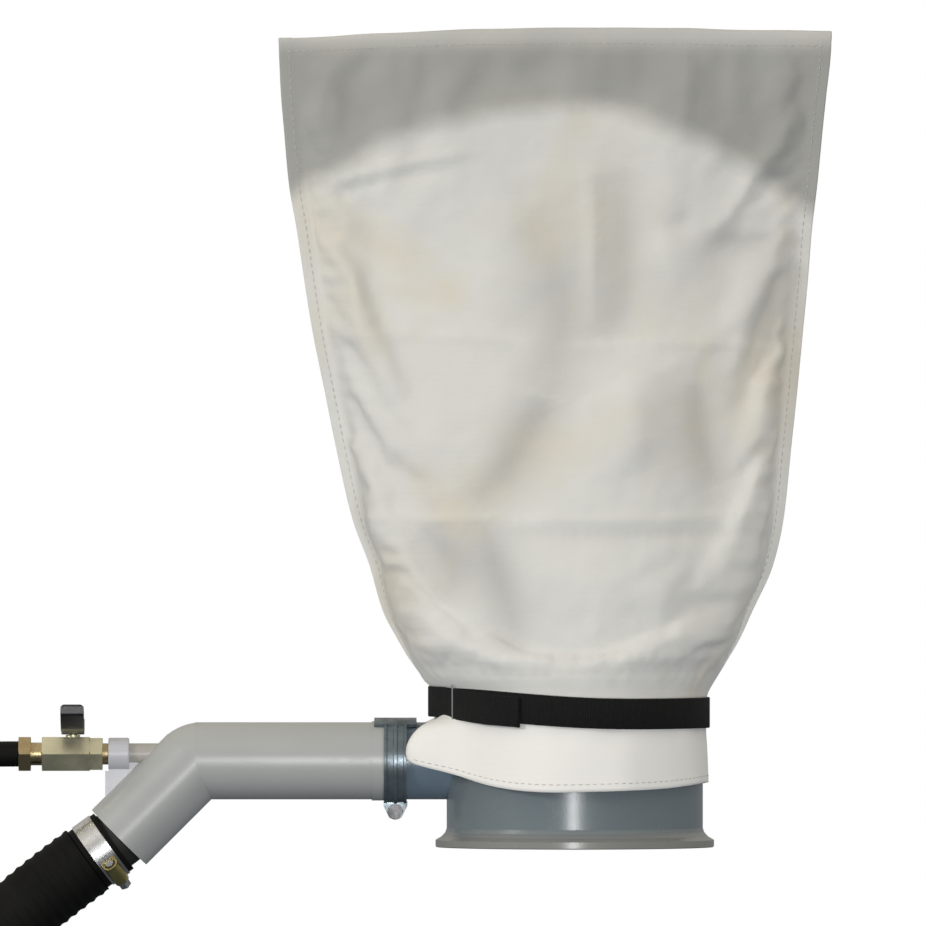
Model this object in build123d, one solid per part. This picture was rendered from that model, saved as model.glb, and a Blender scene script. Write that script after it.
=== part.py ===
from build123d import *
import math
import os

# Compressed-air dust collector: a drum that stands on a dust bin, a filter bag strapped on top of it,
# and a side pipe whose air nozzle draws dust in through the suction hose.
# Millimetres. The drum's axis is Z, its mouth is at z = 0, and the side pipe runs towards -X.

# ---- driving dimensions ----
drum_od = 160.0
drum_wall = 4.7
drum_height = 105.0
flange_od = 174.0
flange_lip = 4.5
flange_flare = 7.5
mouth_bore = 154.6
mouth_depth = 25.0

pipe_od = 48.2
pipe_wall = 3.1
pipe_height = 53.8
joint_reach = 112.0        # drum axis to the plane where branch and elbow meet
joint_gap = 0.2
elbow_run = 124.9          # joint plane to the corner of the elbow's axis
elbow_leg = 67.4
elbow_angle = 45.0
elbow_bend = 10.0
collar_width = 7.8
collar_rise = 0.7

band_width = 14.0
band_thick = 1.4
band_rib = 0.8
gasket_thick = 0.7
saddle_width = 26.4
saddle_angle = 64.0
ear_width = 15.0
ear_drop = 10.2
ear_thick = 3.0
ear_gap = 3.0
bolt_d = 5.0
bolt_flats = 8.0
bolt_head = 3.5
nut_height = 4.0
washer_od = 10.0
washer_thick = 1.0

spigot_od = 38.0
spigot_wall = 2.2
spigot_plug = 24.0
hose_angle = 36.0          # the hose's slope where it leaves the spigot
cuff_wall = 2.25
cuff_start = 4.2
cuff_length = 19.8
hose_wall = 4.0

clamp_width = 13.0
clamp_start = 7.4
clamp_thick = 0.8
clamp_turn = 52.0          # where the worm housing sits, round from the underside
worm_d = 7.0
worm_length = 15.0
worm_gap = 0.15
housing_wall = 1.2
worm_head_flats = 7.0
worm_head_length = 5.5

air_rise = 4.3             # air line above the pipe's axis
nozzle_od = 13.3
nozzle_bore = 9.0
nozzle_reach = 32.0        # end of the tube past the elbow's corner
tip_length = 18.0
tip_od = 9.0
tip_bore = 5.0
socket_od = 20.3
socket_length = 12.9
socket_clear = 1.4675      # inlet socket's end, clear of the elbow's back
web_thick = 8.0
web_overhang = 2.0
web_sunk = 4.0

valve_gap = 3.7            # socket to valve
valve_flats = 21.0
valve_length = 29.8
end_flats = 19.8
end_length = 8.0
thread_od = 13.3
thread_depth = 10.0
port_bore = 7.6
ball_d = 13.6
ball_gap = 0.15
ball_bore = 7.0
ball_back = 19.3           # ball's centre, back from the body's hose end
seat_bore = 8.0
stem_d = 5.4
stem_gap = 0.05
seal_od = 8.0
seal_height = 2.0
boss_od = 9.0
boss_height = 1.4
lever_gap = 0.3
lever_width = 14.4
lever_hub_height = 9.6
lever_reach = 34.0
lever_rise = 19.1
screw_d = 3.0
screw_head_d = 7.6
screw_head_height = 2.2

tail_collar_od = 14.3
tail_collar_length = 7.0
tail_flats = 21.0
tail_hex = 7.6
tail_barb = 27.0
tail_stem_d = 7.4
tail_bore = 5.0
air_hose_od = 16.0
air_hose_bore = 9.0
ferrule_od = 19.0
ferrule_length = 22.0
plug_flats = 17.0
plug_hex = 9.0
plug_nose = 24.0

end_cuff_od = 52.0
end_cuff_lap = 20.0
end_cuff_socket = 45.0
end_cuff_bore = 39.2

bag_wall = 1.2
bag_clear = 0.3
bag_height = 406.5         # from the drum's top to the closed edge
bag_skirt_low = 34.0       # height of the hem at the front
skirt_flare = 6.0
stub_notch = 3.0
strap_height = 20.0
strap_thick = 1.4
strap_middle = 87.6
strap_tilt = 2.4
strap_clear = 1.4
lap_gap = 0.2
lap_from = 150.0
lap_to = 246.0
loop_at = 208.5
loop_bar = 1.0
loop_wide = 1.6
loop_over = 1.6

# ---- derived places ----
drum_r = drum_od / 2
pipe_r = pipe_od / 2
bore_r = pipe_r - pipe_wall
air_z = pipe_height + air_rise
corner = Vector(-joint_reach - elbow_run, 0, pipe_height)
down = math.radians(elbow_angle)
leg_way = Vector(-math.cos(down), 0, -math.sin(down))
leg_end = corner + leg_way * elbow_leg
slope = math.radians(hose_angle)
hose_way = Vector(-math.cos(slope), 0, -math.sin(slope))
# x points to the hose's underside, y to the front and z along the hose
hose_plane = Plane(leg_end, x_dir=(math.sin(slope), 0, -math.cos(slope)), z_dir=hose_way)
hose_exit = leg_end + hose_way * (cuff_start + cuff_length)
# the elbow leg's back meets height z at corner.X + (z - pipe_height - leg_back) / tan(down)
leg_back = pipe_r / math.cos(down)
socket_right = corner.X + (air_rise - socket_od / 2 - leg_back) / math.tan(down) - socket_clear
socket_left = socket_right - socket_length
end_right = socket_left - valve_gap
body_right = end_right - end_length
body_left = body_right - valve_length
ball_x = body_left + ball_back
body_top = air_z + valve_flats / 2
lever_base = body_top + boss_height + lever_gap
tail_left = body_left - tail_collar_length - tail_hex
air_exit = Vector(tail_left, 0, air_z)
bag_r = drum_r + bag_clear
strap_r = bag_r + bag_wall + strap_clear
band_r = pipe_r + gasket_thick
cuff_r = spigot_od / 2 + cuff_wall
hose_od = spigot_od + 2 * hose_wall

# routes of the two hanging hoses, as offsets from where each leaves its fitting
suction_route = [
    (0, 0, 0), hose_way * 34, (-58.7, 0, -48.1), (-93.4, 1, -89.5), (-126.4, 3, -144.3),
    (-152.9, 6, -213.4), (-168.9, 9, -295.9), (-173.6, 12, -385.8), (-168.9, 14, -475.7),
    (-161.5, 14, -560.4), (-158.9, 13, -635.3), (-158.9, 13, -695.3),
]
air_route = [
    (0, 0, 0), (-51.6, 0, 0), (-104.6, -3, -11.1), (-146.6, -8, -43.1), (-171.6, -13, -90.1),
    (-181.6, -17, -150.1), (-182.6, -19, -218.1), (-178.6, -19, -286.1), (-173.6, -18, -352.1),
    (-171.6, -17, -410.1), (-171.6, -17, -463.1),
]


# ---- shape helpers ----
def turned(points, place=Location()):
    """Solid of revolution about local Z from (radius, height) points."""
    outline = Polyline([(r, 0, z) for r, z in points], close=True)
    return place * revolve(make_face(outline), Axis.Z)


def ring(outer, inner, low, high, place=Location()):
    return turned([(inner, low), (outer, low), (outer, high), (inner, high)], place)


def rod(radius, low, high, place=Location()):
    return place * Pos(0, 0, (low + high) / 2) * Cylinder(radius, high - low)


def hexagon(flats, low, high, place=Location(), bevel=0.6):
    """Hexagonal bar along local Z with its corners along local X, bevelled at both ends."""
    top = flats / 2 + bevel / 2
    bar = Pos(0, 0, low) * extrude(RegularPolygon(flats / 2, 6, major_radius=False), high - low)
    tall = flats / 2 * 1.2
    corners = [(0, low), (top, low), (tall, low + bevel), (tall, high - bevel), (top, high), (0, high)]
    return place * (bar & turned(corners))


def prism(points, plane, thickness):
    """Straight prism over an outline in the plane, on the side that the plane's normal points to."""
    return extrude(plane * Polygon(*points, align=None), thickness, dir=plane.z_dir)


def along_x(x=0.0, z=0.0):
    """Frame whose Z axis is the model's X axis and whose X axis is the model's Y axis."""
    return Location(Plane((x, 0, z), x_dir=(0, 1, 0), z_dir=(1, 0, 0)))


def route_radii(points):
    """Largest even arc at each corner of a route: 0.45 of the shorter run over tan(half the turn)."""
    radii = []
    for before, here, after in zip(points, points[1:], points[2:]):
        run_in, run_out = here - before, after - here
        half_turn = math.radians(run_in.get_angle(run_out) / 2)
        radii.append(0.45 * min(run_in.length, run_out.length) / math.tan(half_turn))
    return radii


def hose(exit_point, route, outer, bore):
    """Hollow hose along a route that starts at exit_point."""
    points = [exit_point + Vector(offset) for offset in route]
    radii = route_radii(points)
    path = FilletPolyline(points, radius=radii)
    start = Plane(points[0], z_dir=points[1] - points[0])
    wall = sweep(start * Circle(outer / 2), path) - sweep(start * Circle(bore / 2), path)
    section = math.pi * (outer**2 - bore**2) / 4
    print("hose length", round(path.length, 1), "volume share", round(wall.volume / section / path.length, 4))
    print("radii", [round(r) for r in radii])
    return wall, points[-1]


def save(name, shape):
    export_step(shape, f"parts/{name}.step")


# ---- drum ----
def make_drum():
    flange_r = flange_od / 2
    flare_top = flange_lip + flange_flare
    top = drum_height
    outline = [
        (mouth_bore / 2, 0), (flange_r - 0.6, 0), (flange_r, 0.6), (flange_r, flange_lip),
        (drum_r + (flange_r - drum_r) * 0.45, flange_lip + flange_flare * 0.3),
        (drum_r + (flange_r - drum_r) * 0.12, flange_lip + flange_flare * 0.65),
        (drum_r, flare_top), (drum_r, top - 1), (drum_r - 1, top), (drum_r - drum_wall, top),
        (drum_r - drum_wall, mouth_depth), (mouth_bore / 2, mouth_depth),
    ]
    body = turned(outline)
    side_hole = rod(pipe_r, -drum_od, 0, along_x(z=pipe_height))
    body = body - side_hole
    tube = ring(pipe_r, bore_r, -joint_reach + joint_gap / 2, -drum_r * 0.8, along_x(z=pipe_height))
    branch = tube - rod(drum_r - drum_wall, 0, drum_height)
    return {"drum_body": body, "drum_branch": branch}


# ---- elbow ----
def bent_bar(radius):
    """Solid bar through both legs of the elbow, with a rounded back at the bend."""
    flat = rod(radius, 0, elbow_run - joint_gap / 2, Location(Plane(corner, z_dir=(1, 0, 0))))
    leg = rod(radius, 0, elbow_leg, Location(Plane(corner, z_dir=leg_way)))
    flat_trim = elbow_bend * math.tan(down / 2)
    pivot = corner + Vector(flat_trim, 0, -elbow_bend)
    # the part of the bar's section on the outer side of the bend axis
    section_plane = Plane(corner + Vector(flat_trim, 0, 0), x_dir=(0, 1, 0), z_dir=(1, 0, 0))
    disc = section_plane * Circle(radius)
    keep = section_plane * Pos(0, radius - elbow_bend, 0) * Rectangle(4 * radius, 2 * radius)
    back = revolve(disc & keep, Axis(pivot, (0, -1, 0)), elbow_angle)
    return flat + leg + back


def make_elbow():
    joint_face = -joint_reach - joint_gap / 2
    collar_right = -joint_reach - band_width / 2
    collar = rod(pipe_r + collar_rise, collar_right - collar_width, collar_right, along_x(z=pipe_height))
    outer = bent_bar(pipe_r)
    body = outer + collar
    body = body - bent_bar(bore_r)
    body = body - rod(bore_r, joint_face - 2, joint_face + 2, along_x(z=pipe_height))
    body = body - rod(nozzle_od / 2, socket_left, corner.X, along_x(z=air_z))
    return {"elbow_pipe": body}, outer


# ---- coupling between branch and elbow ----
def make_coupling():
    here = along_x(-joint_reach, pipe_height)
    half = band_width / 2
    outer = band_r + band_thick
    rib = outer + band_rib
    outline = [
        (band_r, -half), (rib - 0.2, -half), (rib - 0.2, 1.6 - half), (outer, 2.0 - half), (outer, -1.4),
        (rib, -1.0), (rib, 1.0), (outer, 1.4), (outer, half - 2.0), (rib - 0.2, half - 1.6),
        (rib - 0.2, half), (band_r, half),
    ]
    band = turned(outline, here)
    # a wide saddle over the top of the band
    saddle_low = pipe_r + collar_rise + 0.3
    arc = saddle_width / 2
    sector = ring(rib, saddle_low, -arc, arc, here)
    spread = math.radians(saddle_angle / 2)
    reach = rib * 1.5
    wedge = prism(
        [(0, 0), (reach * math.sin(spread), reach * math.cos(spread)),
         (-reach * math.sin(spread), reach * math.cos(spread))],
        Plane((-joint_reach - arc, 0, pipe_height), x_dir=(0, 1, 0), z_dir=(1, 0, 0)), saddle_width)
    sector = sector & wedge
    # two ears below it, drawn together by the bolt
    ear_top = pipe_height - band_r - band_thick / 2
    ear_low = ear_top - ear_drop
    half_ear = ear_width / 2
    foot = bolt_d * 0.75
    outside = ear_gap / 2 + ear_thick
    ears = prism(
        [(-half_ear, ear_top + 1.5), (-half_ear, ear_top - 2.5), (-foot, ear_low), (foot, ear_low),
         (half_ear, ear_top - 2.5), (half_ear, ear_top + 1.5)],
        Plane((-joint_reach, outside, 0), x_dir=(1, 0, 0), z_dir=(0, -1, 0)), 2 * outside)
    ears = ears - Pos(-joint_reach, 0, ear_top) * Box(2 * ear_width, ear_gap, 4 * ear_drop)
    bolt_z = pipe_height - rib - washer_od / 2 + 0.3
    across = Location(Plane((-joint_reach, 0, bolt_z), x_dir=(1, 0, 0), z_dir=(0, 1, 0)))
    ears = ears - rod(band_r + band_thick / 2, -ear_width, ear_width, here)
    slot = Pos(-joint_reach, 0, ear_top + 2) * Box(2 * ear_width, ear_gap, 12)
    band = band + sector + ears
    band = band - slot - rod(bolt_d / 2, -2 * outside, 2 * outside, across)
    gasket = ring(band_r, pipe_r, -half + 0.4, half - 0.4, here)
    bolt = hexagon(bolt_flats, -outside - washer_thick - bolt_head, -outside - washer_thick, across)
    bolt = bolt + rod(bolt_d / 2, -outside - washer_thick, outside + washer_thick + nut_height + 1.5, across)
    nut = hexagon(bolt_flats, outside + washer_thick, outside + washer_thick + nut_height, across)
    nut = nut - rod(bolt_d / 2, 0, 2 * outside + nut_height, across)
    front = ring(washer_od / 2, bolt_d / 2, -outside - washer_thick, -outside, across)
    rear = ring(washer_od / 2, bolt_d / 2, outside, outside + washer_thick, across)
    return {
        "coupling_band": band, "coupling_gasket": gasket, "coupling_bolt": bolt,
        "coupling_nut": nut, "coupling_washers": Compound([front.solid(), rear.solid()]),
    }


# ---- compressed-air nozzle ----
def make_nozzle(elbow_outer):
    line = along_x(z=air_z)
    tube_left = (socket_left + socket_right) / 2
    tube_right = corner.X + nozzle_reach
    tube = ring(nozzle_od / 2, nozzle_bore / 2, tube_left, tube_right, line)
    big, small = nozzle_od / 2, tip_od / 2
    tip = turned([
        (nozzle_bore / 2, tube_right - 6), (nozzle_bore / 2, tube_right), (big, tube_right),
        (big, tube_right + 3), (small, tube_right + tip_length), (tip_bore / 2, tube_right + tip_length),
        (tip_bore / 2, tube_right + 4), (nozzle_bore / 2 - 1, tube_right - 6)], line)
    socket = turned([
        (nozzle_od / 2, socket_left), (socket_od / 2 - 0.6, socket_left), (socket_od / 2, socket_left + 0.6),
        (socket_od / 2, socket_right - 0.6), (socket_od / 2 - 0.6, socket_right),
        (nozzle_od / 2, socket_right)], line)
    web_left = socket_left - web_overhang
    web_top = air_z - socket_od / 2 - 0.6
    sunk = leg_back - web_sunk
    web_right = corner.X + (air_rise - sunk) / math.tan(down)

    def inside_leg(x):
        return pipe_height + (x - corner.X) * math.tan(down) + sunk

    web = prism(
        [(web_left, inside_leg(web_left)), (web_left, web_top), (socket_left + 0.3, web_top),
         (socket_left + 0.3, air_z), (web_right, air_z)],
        Plane((0, web_thick / 2, 0), x_dir=(1, 0, 0), z_dir=(0, -1, 0)), web_thick)
    web = web - elbow_outer
    web = web - rod(socket_od / 2, web_left - 1, socket_right, line)
    web = web - rod(nozzle_od / 2, socket_left, corner.X, line)
    web = web.solids().sort_by(SortBy.VOLUME)[-1]
    return {"nozzle_tube": tube, "nozzle_tip": tip, "inlet_socket": socket, "nozzle_web": web}


# ---- air valve ----
def make_valve():
    line = along_x(z=air_z)
    upright = Location((ball_x, 0, air_z))
    ball_r = ball_d / 2
    chamber = ball_r + 0.6
    seat_out = 7.1
    thread_r = thread_od / 2
    chamber_left = ball_x - seat_out
    chamber_right = ball_x + seat_out
    lip_r = chamber + 0.8
    body = hexagon(valve_flats, body_left, body_right, line)
    body = body + Pos(ball_x, 0, body_top + boss_height / 2 - 0.5) * Cylinder(boss_od / 2, boss_height + 1)
    body = body - rod(thread_r, body_left - 1, body_left + thread_depth, line)
    body = body - rod(port_bore / 2, body_left, chamber_left, line)
    body = body - rod(chamber, chamber_left, chamber_right, line)
    body = body - rod(lip_r, chamber_right, body_right + 1, line)
    stem_r = stem_d / 2
    body = body - rod(stem_r + stem_gap, 0, valve_flats, upright)
    seal_top = valve_flats / 2 - 0.4
    body = body - rod(seal_od / 2, seal_top - seal_height, seal_top, upright)
    seal = ring(seal_od / 2, stem_r + stem_gap, seal_top - seal_height, seal_top, upright)
    end = hexagon(end_flats, body_right, end_right, line)
    end = end + rod(lip_r, chamber_right, body_right, line)
    end = end - rod(thread_r, end_right - end_length + 2, end_right + 1, line)
    end = end - rod(port_bore / 2, chamber_right - 1, end_right, line)
    ball = Pos(ball_x, 0, air_z) * Sphere(ball_r)
    across = Location(Plane((ball_x, 0, air_z), z_dir=(0, 1, 0)))
    ball = ball - rod(ball_bore / 2, -ball_d, ball_d, across)
    tang_low = ball_r - 2.0
    tang = Pos(ball_x, 0, air_z + tang_low + 2) * Box(2.2, 7.0, 4.0)
    ball = ball - tang
    seat_in = 3.6
    seat = Pos((chamber + seat_bore / 2) / 2, (seat_out + seat_in) / 2) * Rectangle(
        chamber - seat_bore / 2, seat_out - seat_in)
    seat = revolve(Plane.XZ * (seat - Circle(ball_r + ball_gap)), Axis.Z)
    seats = [along_x(ball_x, air_z) * side * seat for side in (Location(), Rot(180, 0, 0))]
    stem_low = ball_r + 0.2
    stem_high = lever_base - air_z + lever_hub_height
    stem = rod(stem_r, stem_low, stem_high, upright)
    stem = stem + (tang & rod(stem_r, 0, ball_d, upright))
    stem = stem - rod(screw_d / 2, stem_high - 7, stem_high + 1, upright)
    nipple = ring(thread_r, nozzle_bore / 2, end_right - end_length + 2,
                  (socket_left + socket_right) / 2 - 0.2, line)
    return {
        "valve_body": body, "valve_end_piece": end, "valve_ball": ball,
        "valve_seats": Compound([seat.solid() for seat in seats]),
        "stem_seal": seal, "valve_stem": stem, "valve_nipple": nipple,
    }


def make_lever():
    low = lever_base
    hub_r = lever_width / 2
    hub_top = low + lever_hub_height
    tip_top = low + lever_rise
    arm = prism(
        [(hub_r * 0.8, low), (-hub_r * 0.9, low), (-lever_reach * 0.6, low + 3.6),
         (-lever_reach + 1, tip_top - 7.4), (-lever_reach, tip_top - 5.6), (-lever_reach, tip_top - 1.2),
         (-lever_reach + 1.4, tip_top), (-lever_reach * 0.66, tip_top - 1.6), (-hub_r - 2, hub_top),
         (hub_r * 0.8, hub_top)],
        Plane((ball_x - hub_r, 0, 0), x_dir=(0, 1, 0), z_dir=(1, 0, 0)), lever_width)
    end_plane = Plane((ball_x, hub_r, (low + tip_top) / 2), x_dir=(1, 0, 0), z_dir=(0, -1, 0))
    arm = arm & extrude(end_plane * RectangleRounded(lever_width, lever_rise, 2.4), lever_reach + 2 * hub_r)
    hub = Pos(ball_x, 0, (low + hub_top) / 2) * Cylinder(hub_r, lever_hub_height)
    lever = arm + hub
    lever = lever - Pos(ball_x, 0, low) * Cylinder(stem_d / 2, 4 * lever_hub_height)
    for y in (-lever_reach + 4, -lever_reach + 8, -lever_reach + 12):
        lever = lever - Pos(ball_x, y, tip_top + 0.1) * Box(lever_width * 0.66, 1.4, 1.6)
    lever = lever.solids().sort_by(SortBy.VOLUME)[-1]
    top = Location((ball_x, 0, hub_top))
    screw = turned([
        (0, -6), (screw_d / 2, -6), (screw_d / 2, 0), (screw_head_d / 2, 0),
        (screw_head_d / 2, screw_head_height * 0.5), (screw_head_d / 2 - 1, screw_head_height),
        (0, screw_head_height)], top)
    cross = Box(screw_head_d * 0.62, 1.1, 1.6) + Box(1.1, screw_head_d * 0.62, 1.6)
    screw = screw - top * Pos(0, 0, screw_head_height) * cross
    return {"valve_lever": lever, "lever_screw": screw}


# ---- air hose and its fittings ----
def barbed(start, length, stem_r, barb_r, count=3):
    """(radius, height) points of a hose barb that runs up from start."""
    pitch = length / count
    points = []
    for index in range(count):
        low = start + index * pitch
        points += [(barb_r, low + 0.4), (stem_r, low + pitch - 0.2)]
    return points


def make_air_line():
    thread_r = thread_od / 2
    away = Location(Plane(air_exit, x_dir=(0, 1, 0), z_dir=(-1, 0, 0)))
    collar = -tail_hex - tail_collar_length
    tail = ring(thread_r, tail_bore / 2, collar - thread_depth + 0.5, collar, away)
    tail = tail + ring(tail_collar_od / 2, tail_bore / 2, collar, -tail_hex, away)
    tail = tail + (hexagon(tail_flats, -tail_hex, 0, away) - rod(tail_bore / 2, -tail_hex, 0, away))
    stem_r, hose_bore_r = tail_stem_d / 2, air_hose_bore / 2
    stem = [(tail_bore / 2, 0), (stem_r, 0)] + barbed(1.5, tail_barb - 1.5, stem_r, hose_bore_r)
    tail = tail + turned(stem + [(tail_bore / 2, tail_barb)], away)
    wall, end = hose(air_exit, air_route, air_hose_od, air_hose_bore)
    below = Location(Plane(end, x_dir=(1, 0, 0), z_dir=(0, 0, -1)))
    ferrule_in, ferrule_out = air_hose_od / 2, ferrule_od / 2
    ferrule = turned([
        (ferrule_in, -ferrule_length), (ferrule_out - 0.8, -ferrule_length),
        (ferrule_out, -ferrule_length + 0.8), (ferrule_out, -15), (ferrule_out - 0.7, -14),
        (ferrule_out - 0.7, -12), (ferrule_out, -11), (ferrule_out, -8), (ferrule_out - 0.7, -7),
        (ferrule_out - 0.7, -5), (ferrule_out, -4), (ferrule_out, 0.5), (ferrule_out - 0.6, 1.2),
        (stem_r, 1.2), (stem_r, 0), (ferrule_in, 0)], below)
    plug_stem = [(tail_bore / 2, -ferrule_length)]
    for radius, height in barbed(-ferrule_length, ferrule_length - 1, stem_r - 0.2, hose_bore_r):
        plug_stem.append((radius, height))
    nose_r = 5.0
    hex_end = 1.2 + plug_hex
    plug = turned(plug_stem + [(stem_r, -0.6), (stem_r, 1.2), (nose_r, 1.2), (nose_r, hex_end + 0.1),
                               (nose_r + 1, hex_end + 0.1), (nose_r + 1, hex_end + 4),
                               (nose_r, hex_end + 5), (nose_r, hex_end + 9),
                               (nose_r - 1.4, hex_end + 10.2), (nose_r - 1.4, hex_end + 13),
                               (nose_r, hex_end + 14.4), (nose_r, hex_end + plug_nose - 4),
                               (nose_r - 1.4, hex_end + plug_nose), (tail_bore / 2, hex_end + plug_nose)],
                  below)
    plug = plug + (hexagon(plug_flats, 1.2, hex_end, below) - rod(tail_bore / 2, 0, hex_end + 1, below))
    return {"hose_tail": tail, "air_hose": wall, "air_ferrule": ferrule, "air_plug": plug}


# ---- suction hose, its spigot, clamp and end cuff ----
def make_suction_line():
    plug_place = Location(Plane(leg_end, z_dir=leg_way))
    hose_place = Location(hose_plane)
    spigot_r = spigot_od / 2
    end = cuff_start + cuff_length
    inside = spigot_r - spigot_wall
    knee = rod(spigot_r, 0, end, hose_place) + Pos(*leg_end) * Sphere(spigot_r)
    knee = knee - rod(2 * pipe_od, -2 * pipe_od, 0, plug_place)
    spigot = rod(bore_r, -spigot_plug, 0, plug_place) + knee
    spigot = spigot - rod(inside, -spigot_plug, 0, plug_place) - rod(inside, 0, end, hose_place)
    spigot = spigot - Pos(*leg_end) * Sphere(inside)
    cuff = ring(cuff_r, spigot_r, cuff_start, end, hose_place)
    wall, foot = hose(hose_exit, suction_route, hose_od, spigot_od)
    below = Location(Plane(foot, x_dir=(1, 0, 0), z_dir=(0, 0, -1)))
    outer = end_cuff_od / 2
    lap = hose_od / 2
    socket = end_cuff_bore / 2
    mouth = end_cuff_socket
    end_cuff = turned([
        (lap, -end_cuff_lap), (outer - 1.5, -end_cuff_lap), (outer, -end_cuff_lap + 1.5),
        (outer, mouth - 7), (outer + 1.6, mouth - 6), (outer + 1.6, mouth - 1), (outer + 0.6, mouth),
        (socket, mouth), (socket, 0), (lap, 0)], below)
    return {"hose_spigot": spigot, "hose_near_cuff": cuff, "suction_hose": wall, "hose_end_cuff": end_cuff}


def make_clamp():
    place = Location(hose_plane)
    band_in = cuff_r
    band_out = band_in + clamp_thick
    clamp_end = clamp_start + clamp_width
    band = ring(band_out, band_in, clamp_start, clamp_end, place)
    tongue = ring(band_out + clamp_thick, band_out, clamp_start + 0.4, clamp_end - 0.4)
    tongue = tongue & Rot(0, 0, clamp_turn + 60) * Pos(band_out, 0, clamp_end / 2) * Box(
        2 * band_out, 1.1 * band_out, 2 * clamp_end)
    band = band + place * tongue
    # local x is radial, y is along the worm, pointing to the front
    middle = clamp_start + clamp_width / 2
    seat = place * Rot(0, 0, clamp_turn)
    worm_r = worm_d / 2
    hole_r = worm_r + worm_gap
    worm_out = band_out + 0.4 + hole_r
    shell = hole_r + housing_wall
    half = worm_length / 2
    base = Pos((band_in + worm_out) / 2, 0, middle) * Box(worm_out - band_in, worm_length, 2 * shell)
    crown = Pos(worm_out, 0, middle) * Rot(90, 0, 0) * Cylinder(shell, worm_length)
    housing = base + crown
    housing = housing - Pos(worm_out, 0, middle) * Rot(90, 0, 0) * Cylinder(hole_r, 2 * worm_length)
    housing = seat * housing - rod(band_out, 0, 2 * clamp_end, place)
    housing = housing - (place * tongue)
    housing = housing.solids().sort_by(SortBy.VOLUME)[-1]
    screw_place = seat * Location(Plane((worm_out, 0, middle), x_dir=(1, 0, 0), z_dir=(0, -1, 0)))
    head = half + worm_gap
    screw = turned([
        (0, -half - 1), (worm_r - 0.8, -half - 1), (worm_r - 0.8, -half + 1), (worm_r, -half + 2),
        (worm_r, head), (worm_r + 1.2, head), (worm_r + 1.2, head + 0.9), (0, head + 0.9)], screw_place)
    screw = screw + hexagon(worm_head_flats, head + 0.9, head + worm_head_length, screw_place)
    slot = screw_place * Pos(0, 0, head + worm_head_length) * Box(1.2, 2 * worm_head_flats, 2.6)
    screw = screw - slot
    return {"clamp_band": band, "clamp_housing": housing, "clamp_screw": screw}


# ---- filter bag and its strap ----
def bag_sections(inset):
    """(height, half width, half depth, shift in X) up the bag, drawn in by inset."""
    base = bag_r + bag_wall
    top = drum_height + bag_height
    neck = strap_middle + strap_height / 2 + 3
    span = top - neck
    rows = [
        (0.0, base, base, 0.0), (0.1, 112.0, 82.0, -4.0), (0.2, 128.3, 76.0, -2.4),
        (0.3, 137.9, 66.0, -5.3), (0.45, 147.7, 50.0, -8.6), (0.62, 157.3, 33.0, -11.5),
        (0.78, 165.8, 18.0, -13.2), (0.92, 170.9, 9.0, -12.9), (1.0, 172.5, 5.0, -12.3),
    ]
    scale = base / 81.5
    out = []
    for share, wide, deep, shift in rows:
        out.append((neck + span * share, wide * scale - inset, deep * scale - inset, shift))
    return out


def bag_loft(inset, low_trim, high_trim):
    rows = bag_sections(inset)
    faces = [Pos(0, 0, rows[0][0] - low_trim) * Ellipse(rows[0][1], rows[0][2])]
    for index, (height, wide, deep, shift) in enumerate(rows):
        if index == len(rows) - 1:
            height = height - high_trim
        faces.append(Pos(shift, 0, height) * Ellipse(wide, deep))
    return loft(faces)


def make_bag():
    outer_r = bag_r + bag_wall
    neck = bag_sections(0)[0][0]
    strap_low = strap_middle - strap_height / 2 - 6
    upper = bag_loft(0, 3, 0) - bag_loft(bag_wall, 3.0, 2.5)
    collar = ring(outer_r, bag_r, strap_low, neck - 3)
    flare = outer_r + skirt_flare
    skirt = turned([
        (bag_r, strap_low), (outer_r, strap_low), (flare, bag_skirt_low),
        (flare - bag_wall, bag_skirt_low)])
    bag = upper + collar + skirt
    bag = bag - rod(pipe_r + stub_notch, -2 * drum_od, 0, along_x(z=pipe_height))
    bag = bag - Pos(-drum_od, 0, pipe_height / 2) * Box(2 * drum_od, pipe_od + 2 * stub_notch, pipe_height)
    tilt = Rot(0, strap_tilt, 0)
    half = strap_height / 2
    middle = Location((0, 0, strap_middle))
    slab = middle * tilt * Box(3 * drum_od, 3 * drum_od, strap_height)
    tall = ring(strap_r + strap_thick, strap_r, -2 * strap_height, 2 * strap_height, middle)
    strap = tall & slab
    lap_r = strap_r + strap_thick + lap_gap
    lap = ring(lap_r + strap_thick, lap_r, -2 * strap_height, 2 * strap_height, middle)
    turn = (lap_from + lap_to) / 2
    spread = math.radians((lap_to - lap_from) / 2)
    far = 2 * drum_od
    wedge = Rot(0, 0, turn) * prism(
        [(0, 0), (far * math.cos(spread), -far * math.sin(spread)),
         (far * math.cos(spread), far * math.sin(spread))], Plane.XY, drum_height + strap_height)
    lap = lap & slab & wedge
    ring_in = strap_r - loop_bar - 0.2
    ring_out = lap_r + strap_thick + 0.2 + loop_bar
    loop_r = (ring_in + ring_out) / 2
    loop_rise = -loop_r * math.cos(math.radians(loop_at)) * math.tan(math.radians(strap_tilt))
    loop_place = middle * Pos(0, 0, loop_rise) * Rot(0, 0, loop_at) * Pos(loop_r, 0, 0)
    loop = Box(ring_out - ring_in, loop_wide, strap_height + 2 * loop_over)
    loop = loop - Box(ring_out - ring_in - 2 * loop_bar, 3 * loop_wide, strap_height + 1.0)
    return {"filter_bag": bag, "bag_strap": strap, "strap_lap": lap, "strap_loop": loop_place * loop}


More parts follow.
